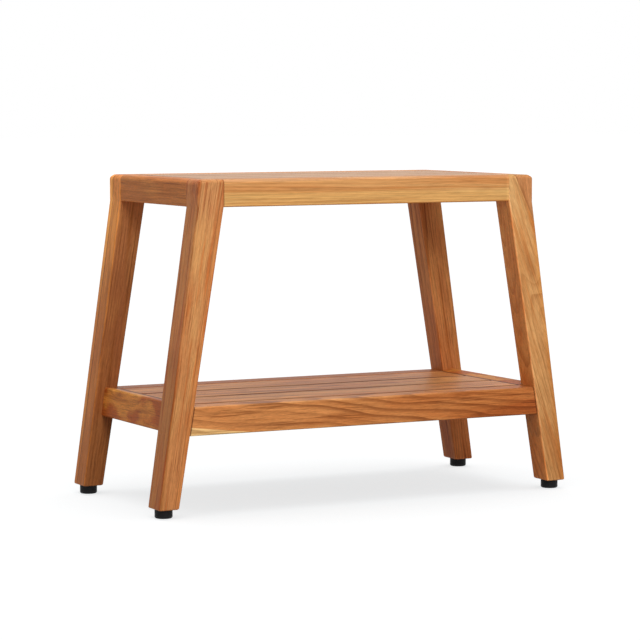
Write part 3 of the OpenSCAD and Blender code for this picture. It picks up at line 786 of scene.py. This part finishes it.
for side, node, gap in [(1, "shelf_end_rail_right", RIGHT_GAP),
                        (-1, "shelf_end_rail_left", LEFT_GAP)]:
    low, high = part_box(node)
    slat_side = high.x if side < 0 else low.x
    dress_teak(node, (side * SHELF_END_X, 0, SHELF_END_Z), ALONG_Y, [
        dict(Seed=90.0 + side, Pith=(0.05, 0.02, 0), Ring_Width=0.006, Rings=0.45, Wander=0.03,
             Streaks=0.5, Lines=0.4, Blotches=0.95, Shorter=2.4, Knot=(-0.0125, -0.0149, 0.06),
             Knot_Size=0.0045, **shelf_end_tones),
    ], lines=[(RIGHT, slat_side, gap)], shades=[
        painted_top_sheen(node),
        # Painted shade: the end rail's lower edge is darkened where it is in shadow underneath.
        shade(DOWN, low.z + SHADED_EDGE_HEIGHT, (0.6, 0.5, 0.45), fade=0.0016),
    ])

# ---------- Cleats and battens ----------
# Square cleats under the slat ends and a flat batten across the middle, of plain
# planed teak that nobody sees from above.

def middle(node):
    low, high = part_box(node)
    return (low + high) / 2


for node in ("seat_cleat_right", "seat_cleat_left", "shelf_cleat_right", "shelf_cleat_left",
             "seat_batten", "shelf_batten"):
    dress_teak(node, tuple(middle(node)), ALONG_Y, [
        dict(Seed=100.0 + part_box(node)[0].x * 10, Pith=(0.03, 0.03, 0), Streaks=0.35, **chestnut),
    ], arrises=long_edges(node, 1))

# ---------- Dowels and inserts ----------
# Hidden fastenings: plain hardwood dowels in the long rails' ends, and a brass insert
# in the end of each leg that the feet screw into.
SCUFF_CELLS, MARK_SHARE = (260, 260, 260), 0.6
METAL_SHEEN, DULL_SHEEN = 0.5, 0.2
MARK_DEPTH = 0.0001


def machined_group():
    """Fine turned marks and a few scuffs, for metal, rubber and plain dowels."""
    tree, given, made = start_group("machined", [
        ("Vector", "Vector", (0, 0, 0)),
        ("Cells", "Vector", (400, 400, 3000)),
        ("Base", "Color", (0.5, 0.5, 0.5, 1)),
        ("Scuffed", "Color", (0.6, 0.6, 0.6, 1)),
        ("Rough", "Float", 0.3),
        ("Rougher", "Float", 0.2),
    ], [("Color", "Color"), ("Roughness", "Float"), ("Height", "Float")])
    mark = noise(given["Vector"], given["Cells"], 3.0)
    scuff = ramp(noise(given["Vector"], SCUFF_CELLS, 4.0, 0.7), 0.52, 0.68)
    feed(made["Color"], blend(scuff, given["Base"], given["Scuffed"]))
    worn = calc("ADD", calc("MULTIPLY", mark, MARK_SHARE),
                calc("MULTIPLY", scuff, 1.0 - MARK_SHARE))
    feed(made["Roughness"], calc("MULTIPLY_ADD", worn, given["Rougher"], given["Rough"]))
    feed(made["Height"], mark)
    return tree


machined = machined_group()


def hardware(name, color, scuffed, rough, rougher, cells, metal=0.0, bump=0.15):
    """The finish of a small part that isn't teak, with so many marks in a metre each way."""
    material, surface, place = start_material(name)
    marks = add_group(machined, Vector=place, Cells=cells, Base=linear(color),
                      Scuffed=linear(scuffed), Rough=rough, Rougher=rougher).outputs
    finish_surface(surface, marks["Color"], marks["Roughness"], marks["Height"], bump,
                   MARK_DEPTH)
    surface.inputs["Metallic"].default_value = metal
    surface.inputs["Specular IOR Level"].default_value = METAL_SHEEN if metal else DULL_SHEEN
    return material


dowel_wood = hardware("dowel_wood", "d8b482", "c49c68", rough=0.5, rougher=0.2,
                      cells=(60, 1500, 1500))
insert_brass = hardware("insert_brass", "c8a050", "a8823c", rough=0.25, rougher=0.25,
                        cells=(300, 300, 4000), metal=1.0)
CORNERS = [(name, side, rear) for rear, front in ((-1, "front"), (1, "rear"))
           for name, side in ((front + "_right", 1), (front + "_left", -1))]
for node in ("seat_rail_dowels", "shelf_rail_dowels"):
    dress(node, dowel_wood)
for corner, _, _ in CORNERS:
    dress("insert_" + corner, insert_brass)

# ---------- Screws ----------
# Stainless countersunk wood screws with a cross recess, driven up through the cleats and
# battens into the slats, and out through the cleats into the end rails.

def start_shape(name, sizes):
    """A Geometry Nodes tree with a geometry in and out, named sizes and a finish."""
    inputs = [("Geometry", "Geometry", None)]
    inputs += [(label, "Float", value) for label, value in sizes.items()]
    inputs += [("Finish", "Material", None)]
    return start_group(name, inputs, [("Geometry", "Geometry")], "GeometryNodeTree")


def link_all(pieces, socket):
    for piece in reversed(pieces):
        feed(socket, piece)


def joined(*pieces):
    node = tree_of(*pieces).nodes.new("GeometryNodeJoinGeometry")
    link_all(pieces, node.inputs[0])
    return node.outputs[0]


def moved(geometry, x=0.0, y=0.0, z=0.0):
    return add_node("GeometryNodeTransform", Geometry=geometry,
                    Translation=combined(x, y, z)).outputs[0]


def cone(sides, bottom, top, height):
    return add_node("GeometryNodeMeshCone", Vertices=sides, Radius_Bottom=bottom, Radius_Top=top,
                    Depth=height).outputs[0]


def finish_shape(geometry, given, made):
    """Realizes what the tree placed and gives it its finish."""
    real = add_node("GeometryNodeRealizeInstances", Geometry=geometry)
    done = add_node("GeometryNodeSetMaterial", Geometry=real.outputs[0], Material=given["Finish"])
    feed(made["Geometry"], done.outputs[0])


RIB_TURN_STEPS, RIB_SIDES = 20, 4
RIB_FIRST, RIB_GROWTH = 0.05, 25.0


def thread_rib(start, length, radius, rib, pitch):
    """A right-hand helical rib round the Z axis that runs out to nothing at both ends."""
    turns = calc("DIVIDE", length, pitch)
    path = add_node("GeometryNodeCurveSpiral", Resolution=RIB_TURN_STEPS, Rotations=turns,
                    Start_Radius=radius, End_Radius=radius, Height=length)
    level = add_node("GeometryNodeSetCurveNormal", Curve=path.outputs[0])
    level.mode = "Z_UP"
    factor = tree_of(length).nodes.new("GeometryNodeSplineParameter").outputs["Factor"]
    from_end = calc("MINIMUM", factor, calc("SUBTRACT", 1.0, factor))
    run_out = calc("MULTIPLY_ADD", from_end, RIB_GROWTH, RIB_FIRST)
    profile = add_node("GeometryNodeCurvePrimitiveCircle", Resolution=RIB_SIDES, Radius=rib)
    swept = add_node("GeometryNodeCurveToMesh", Curve=level.outputs[0],
                     Profile_Curve=profile.outputs[0], Scale=calc("MINIMUM", run_out, 1.0))
    swept.inputs["Fill Caps"].default_value = True
    return moved(swept.outputs[0], z=start)


HEAD_SIDES, SHANK_SIDES = 40, 24
RECESS_SPAN, TIP_LENGTH, RIB_START, THREADED = 1.15, 2.5, 2.5, 0.8


def screws_tree():
    """A wood screw on each point, its head at the point and its tip towards the point's aim."""
    tree, given, made = start_shape("wood_screws", {
        "Length": 0.025, "Root Radius": 0.0015, "Head Radius": 0.004, "Head Height": 0.002,
        "Thread Height": 0.0005, "Thread Pitch": 0.0018, "Recess Width": 0.001,
        "Recess Depth": 0.0013,
    })
    head = cone(HEAD_SIDES, given["Head Radius"], given["Root Radius"], given["Head Height"])
    span = calc("MULTIPLY", given["Head Radius"], RECESS_SPAN)
    tall = calc("MULTIPLY", given["Recess Depth"], 2.0)
    bars = []
    for x, y in ((span, given["Recess Width"]), (given["Recess Width"], span)):
        bar = add_node("GeometryNodeMeshCube", Size=combined(x, y, tall))
        bars.append(bar.outputs[0])
    cut = tree.nodes.new("GeometryNodeMeshBoolean")
    cut.operation = "DIFFERENCE"
    cut.solver = "EXACT"
    tree.links.new(head, cut.inputs["Mesh 1"])
    link_all(bars, cut.inputs["Mesh 2"])
    tip_height = calc("MULTIPLY", given["Root Radius"], TIP_LENGTH)
    tip_start = calc("SUBTRACT", given["Length"], tip_height)
    below_head = calc("SUBTRACT", given["Length"], given["Head Height"])
    shank_height = calc("SUBTRACT", below_head, tip_height)
    shank = cone(SHANK_SIDES, given["Root Radius"], given["Root Radius"], shank_height)
    tip = cone(SHANK_SIDES, given["Root Radius"], 0.0, tip_height)
    rib = thread_rib(calc("MULTIPLY", given["Head Height"], RIB_START),
                     calc("MULTIPLY", shank_height, THREADED), given["Root Radius"],
                     given["Thread Height"], given["Thread Pitch"])
    screw = joined(cut.outputs[0], moved(shank, z=given["Head Height"]),
                   moved(tip, z=tip_start), rib)
    aim = fill(tree.nodes.new("GeometryNodeInputNamedAttribute"), Name="aim")
    aim.data_type = "FLOAT_VECTOR"
    turn = tree.nodes.new("FunctionNodeAlignRotationToVector")
    turn.axis = "Z"
    tree.links.new(aim.outputs["Attribute"], turn.inputs["Vector"])
    placed = add_node("GeometryNodeInstanceOnPoints", Points=given["Geometry"],
                      Instance=screw, Rotation=turn.outputs[0])
    finish_shape(placed.outputs[0], given, made)
    return tree


TURNED_SHARP = math.radians(35)


def shaped(name, mesh, tree, finish, sizes=None):
    """Runs a tree on a mesh and returns the plain mesh that it makes, as an object."""
    piece = added(name, mesh)
    modifier = piece.modifiers.new(name, "NODES")
    modifier.node_group = tree
    for item in tree.interface.items_tree:
        if item.in_out == "INPUT" and item.name == "Finish":
            modifier[item.identifier] = finish
        elif item.in_out == "INPUT" and sizes and item.name in sizes:
            modifier[item.identifier] = sizes[item.name]
    evaluated = piece.evaluated_get(bpy.context.evaluated_depsgraph_get())
    made = bpy.data.meshes.new_from_object(evaluated)
    piece.modifiers.remove(modifier)
    piece.data = made
    made.name = name
    made.set_sharp_from_angle(angle=TURNED_SHARP)
    return piece


wood_screws = screws_tree()
screw_steel = hardware("screw_steel", "c4c6c8", "a8aaac", rough=0.22, rougher=0.2,
                       cells=(2500, 2500, 2500), metal=1.0)
for level in ("seat", "shelf"):
    rows = [f"{level}_cleat_left", f"{level}_batten", f"{level}_cleat_right"]
    slats = [f"{level}_slat_{place}" for place in ("front", "middle", "rear")]
    up = [((middle(row).x, middle(slat).y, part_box(row)[0].z), (0, 0, 1))
          for row in rows for slat in slats]
    out = []
    for side, row in ((-1, rows[0]), (1, rows[2])):
        inner_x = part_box(row)[1 if side < 0 else 0].x
        out += [((inner_x, (middle(a).y + middle(b).y) / 2, middle(row).z), (side, 0, 0))
                for a, b in zip(slats, slats[1:])]
    for node, points in ((f"{level}_slat_screws", up), (f"{level}_cleat_screws", out)):
        mesh = bpy.data.meshes.new(node + "_points")
        mesh.from_pydata([place for place, aim in points], [], [])
        aims = mesh.attributes.new("aim", "FLOAT_VECTOR", "POINT")
        for mark, (place, aim) in zip(aims.data, points):
            mark.vector = aim
        piece = shaped("made_" + node, mesh, wood_screws, screw_steel)
        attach(piece, "bench")
        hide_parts(node)

# ---------- Studs ----------
# A threaded stainless stud in each foot: the rubber is moulded round its flange, and it
# screws up into the leg's insert.
MM = 0.001
STUD_RADIUS, STUD_TOP, STUD_CHAMFER = 4.0, 34.0, 0.8
THREAD_PITCH, THREAD_DEPTH, THREAD_START = 1.25, 0.65, 6.5
FLANGE_RADIUS, FLANGE_LOW, FLANGE_HIGH = 7.5, 3.0, 5.5
FOOT_X, FOOT_Y = 308.555, 130.25
TURNED_SEGMENTS = 72


def turned(name, profile, x, y):
    """A closed turned mesh from (radius, height) points in millimetres, axis to axis."""
    shape = bmesh.new()
    rings = []
    for radius, height in profile:
        if radius == 0:
            rings.append([shape.verts.new((x * MM, y * MM, height * MM))])
            continue
        turns = [2 * math.pi * k / TURNED_SEGMENTS for k in range(TURNED_SEGMENTS)]
        rings.append([shape.verts.new(((x + radius * math.cos(turn)) * MM,
                                       (y + radius * math.sin(turn)) * MM,
                                       height * MM)) for turn in turns])
    for lower, upper in zip(rings, rings[1:]):
        for k in range(TURNED_SEGMENTS):
            ahead = (k + 1) % TURNED_SEGMENTS
            corners = [lower[k % len(lower)], lower[ahead % len(lower)],
                       upper[ahead % len(upper)], upper[k % len(upper)]]
            shape.faces.new(list(dict.fromkeys(corners)))
    bmesh.ops.recalc_face_normals(shape, faces=shape.faces)
    mesh = plain_mesh(name, shape)
    mesh.shade_smooth()
    mesh.set_sharp_from_angle(angle=TURNED_SHARP)
    return mesh


def rolled_thread_tree():
    """Adds a rolled thread to a turned stud whose axis passes through Foot X and Foot Y."""
    tree, given, made = start_shape("rolled_thread", {
        "Foot X": 0.3, "Foot Y": 0.13, "Root Radius": 0.00335, "Thread Height": 0.00065,
        "Thread Pitch": 0.00125, "Start": 0.0065, "Length": 0.026,
    })
    rib = thread_rib(given["Start"], given["Length"], given["Root Radius"],
                     given["Thread Height"], given["Thread Pitch"])
    rib = moved(rib, given["Foot X"], given["Foot Y"])
    finish_shape(joined(given["Geometry"], rib), given, made)
    return tree


rolled_thread = rolled_thread_tree()
stud_steel = hardware("stud_steel", "c0c2c4", "9c9ea0", rough=0.2, rougher=0.22,
                      cells=(500, 500, 3500), metal=1.0)
root = STUD_RADIUS - THREAD_DEPTH
stud_profile = [(0, FLANGE_LOW), (FLANGE_RADIUS, FLANGE_LOW), (FLANGE_RADIUS, FLANGE_HIGH),
                (root, FLANGE_HIGH), (root, STUD_TOP - STUD_CHAMFER),
                (root - STUD_CHAMFER, STUD_TOP), (0, STUD_TOP)]
for corner, side, rear in CORNERS:
    x, y = side * FOOT_X, rear * FOOT_Y
    core = turned("stud_core_" + corner, stud_profile, x, y)
    piece = shaped("threaded_stud_" + corner, core, rolled_thread, stud_steel, {
        "Foot X": x * MM, "Foot Y": y * MM, "Root Radius": root * MM,
        "Thread Height": THREAD_DEPTH * MM, "Thread Pitch": THREAD_PITCH * MM,
        "Start": THREAD_START * MM, "Length": (STUD_TOP - STUD_CHAMFER - THREAD_START) * MM})
    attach(piece, "stud_" + corner)
    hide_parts("stud_" + corner)

# ---------- Feet ----------
# A low black rubber foot under each leg, moulded round the stud's flange, with shallow
# grip grooves round its side, a rounded tread edge and rings under the tread.
FOOT_RADIUS, FOOT_HEIGHT, TREAD_EDGE, TOP_EASE = 12.25, 12.0, 2.5, 0.8
STUD_PLAY = 0.08
GROOVE_WIDTH, GROOVE_DEPTH, GROOVE_SLOPE = 0.7, 0.3, 0.15
SIDE_GROOVES = (4.4, 6.4, 8.4)
TREAD_RINGS = (3.0, 5.4, 7.8)


def groove(start):
    """How far along and how deep the four corners of a groove's profile are."""
    return [(start, 0), (start + GROOVE_SLOPE, GROOVE_DEPTH),
            (start + GROOVE_WIDTH - GROOVE_SLOPE, GROOVE_DEPTH), (start + GROOVE_WIDTH, 0)]


def rounded(center_r, center_z, radius, start, end, steps):
    """Points of an arc in the profile, angles in degrees from the radius direction."""
    turns = [math.radians(start + (end - start) * k / steps) for k in range(steps + 1)]
    return [(center_r + radius * math.cos(t), center_z + radius * math.sin(t)) for t in turns]


foot_profile = [(0, 0)]
for ring in TREAD_RINGS:
    foot_profile += groove(ring)
foot_profile += rounded(FOOT_RADIUS - TREAD_EDGE, TREAD_EDGE, TREAD_EDGE, -90, 0, steps=8)
for start in SIDE_GROOVES:
    foot_profile += [(FOOT_RADIUS - deep, height) for height, deep in groove(start)]
foot_profile += rounded(FOOT_RADIUS - TOP_EASE, FOOT_HEIGHT - TOP_EASE, TOP_EASE, 0, 90, steps=5)
bore, cavity = STUD_RADIUS + STUD_PLAY, FLANGE_RADIUS + STUD_PLAY
foot_profile += [(bore, FOOT_HEIGHT), (bore, FLANGE_HIGH + STUD_PLAY),
                 (cavity, FLANGE_HIGH + STUD_PLAY), (cavity, FLANGE_LOW - STUD_PLAY),
                 (0, FLANGE_LOW - STUD_PLAY)]
foot_rubber = hardware("foot_rubber", "0c0c0d", "1a1a1b", rough=0.5, rougher=0.25,
                       cells=(900, 900, 900), bump=0.25)
for corner, side, rear in CORNERS:
    mesh = turned("rubber_foot_" + corner, foot_profile, side * FOOT_X, rear * FOOT_Y)
    mesh.materials.append(foot_rubber)
    piece = added("rubber_foot_" + corner, mesh)
    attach(piece, "foot_" + corner)
    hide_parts("foot_" + corner)

# ---------- Floor ----------
# A plain pale studio floor that runs out of sight, and keeps the bench's shadow.
FLOOR_SIZE = 60.0
FLOOR_LIT, FLOOR_SEEN = 0.45, 0.406
FLOOR_GLOW, FLOOR_TINT = 0.741, (0.968, 0.99, 1, 1)
sheet = bmesh.new()
bmesh.ops.create_grid(sheet, x_segments=1, y_segments=1, size=FLOOR_SIZE / 2)
floor = added("floor", plain_mesh("floor", sheet))


def seen_ray(tree):
    """1 for a ray that shows a picture of the backdrop, 0 for one that brings its light."""
    rays = tree.nodes.new("ShaderNodeLightPath")
    return calc("MAXIMUM", rays.outputs["Is Camera Ray"],
                calc("MAXIMUM", rays.outputs["Is Glossy Ray"],
                     rays.outputs["Is Transmission Ray"]))


def matte(tree, grey):
    node = fill(tree.nodes.new("ShaderNodeBsdfDiffuse"), Color=(grey, grey, grey, 1))
    return node.outputs[0]


pale = bpy.data.materials.new("pale_floor")
pale.use_nodes = True
tree = pale.node_tree
tree.nodes.remove(tree.nodes["Principled BSDF"])
glow = fill(tree.nodes.new("ShaderNodeEmission"), Strength=FLOOR_GLOW, Color=FLOOR_TINT)
shown = tree.nodes.new("ShaderNodeAddShader")
choose = tree.nodes.new("ShaderNodeMixShader")
tree.links.new(seen_ray(tree), choose.inputs[0])
tree.links.new(matte(tree, FLOOR_SEEN), shown.inputs[0])
tree.links.new(glow.outputs[0], shown.inputs[1])
tree.links.new(matte(tree, FLOOR_LIT), choose.inputs[1])
tree.links.new(shown.outputs[0], choose.inputs[2])
tree.links.new(choose.outputs[0], tree.nodes["Material Output"].inputs["Surface"])
floor.data.materials.append(pale)

# ---------- Studio light ----------
# A white room lit from straight above, and a large soft box high in front, a little to
# the left. The box lights the bench alone, so the floor keeps the overhead shadow.
ROOM_LIGHT = 0.36
OVERHEAD_LEVEL, OVERHEAD_SPREAD = 0.42, math.radians(55)
BENCH_MIDDLE_Z = 0.23
scene = bpy.context.scene
world = bpy.data.worlds.new("studio")
scene.world = world
world.use_nodes = True
tree = world.node_tree
strength = calc("MULTIPLY_ADD", seen_ray(tree), 1.0 - ROOM_LIGHT, ROOM_LIGHT)
fill(tree.nodes["Background"], Strength=strength, Color=(1, 1, 1, 1))

overhead = bpy.data.lights.new("overhead", "SUN")
overhead.energy = OVERHEAD_LEVEL * math.pi
overhead.angle = OVERHEAD_SPREAD
added("overhead", overhead)


def soft_box(name, azimuth, height, distance, size, level):
    """A square lamp that faces the bench from an azimuth, 0 in front and negative to the left.
    A white surface that faces it renders at level."""
    lamp = bpy.data.lights.new(name, "AREA")
    lamp.shape = "SQUARE"
    lamp.size = size
    lamp.energy = level * math.pi ** 2 * distance ** 2
    holder = added(name, lamp)
    around, up = math.radians(azimuth), math.radians(height)
    holder.location = (distance * math.sin(around) * math.cos(up),
                       -distance * math.cos(around) * math.cos(up),
                       BENCH_MIDDLE_Z + distance * math.sin(up))
    holder.rotation_euler = (math.radians(90) - up, 0, around)
    return holder


key = soft_box("front_box", azimuth=-10, height=30, distance=3.2, size=1.5, level=0.52)
lit = bpy.data.collections.new("lit_by_front_box")
for piece in bpy.data.objects:
    if piece.type == "MESH" and piece != floor:
        lit.objects.link(piece)
key.light_linking.receiver_collection = lit

# ---------- Camera ----------
# A long lens a little above the seat, from the front left.
SENSOR, PICTURE, FOCAL_PIXELS = 36.0, 640, 2688.5
CAMERA_AT = (-1.79966, -3.41763, 0.56894)
CAMERA_DOWN, CAMERA_AROUND = 0.0831, -0.4845
CAMERA_REACH = 100
camera_data = bpy.data.cameras.new("camera")
camera_data.sensor_width = SENSOR
camera_data.lens = FOCAL_PIXELS * SENSOR / PICTURE
camera_data.clip_end = CAMERA_REACH
camera = added("camera", camera_data)
camera.location = CAMERA_AT
camera.rotation_euler = (math.radians(90) - CAMERA_DOWN, 0, CAMERA_AROUND)
scene.camera = camera
scene.view_settings.view_transform = "Standard"
